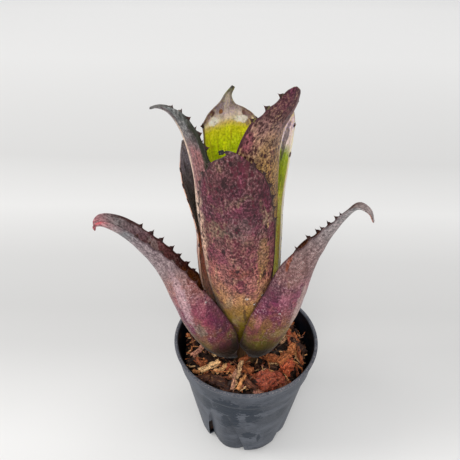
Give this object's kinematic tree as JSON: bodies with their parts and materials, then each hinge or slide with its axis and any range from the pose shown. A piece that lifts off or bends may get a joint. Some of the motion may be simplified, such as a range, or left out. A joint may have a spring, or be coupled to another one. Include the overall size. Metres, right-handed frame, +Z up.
{
  "type": "potted bromeliad",
  "caption": "Small tube-shaped bromeliad with broad spiny-edged leaves, rooted in bark potting mix in a round plastic nursery pot.",
  "frame": {"origin": "middle of the pot's underside, on the surface that it stands on", "axes": "+Z up; the narrow front of the plant faces -Y, and its two spreading lower leaves reach to -X and +X"},
  "size_m": [0.1187, 0.08, 0.2145],
  "materials": {
    "pot_plastic": "satin, dusty",
    "bark_mix": "rough, damp",
    "stem_wood": "matt",
    "leaf": "satin, scurfy"
  },
  "bodies": {
    "root": {"pot": "pot_plastic", "substrate": "bark_mix", "stem": "stem_wood", "leaf_front": "leaf", "leaf_upper_right": "leaf", "leaf_back": "leaf", "leaf_upper_left": "leaf", "leaf_back_left": "leaf", "leaf_back_right": "leaf", "leaf_lower_left": "leaf", "leaf_lower_right": "leaf", "leaf_young": "leaf"}
  },
  "joints": []
}
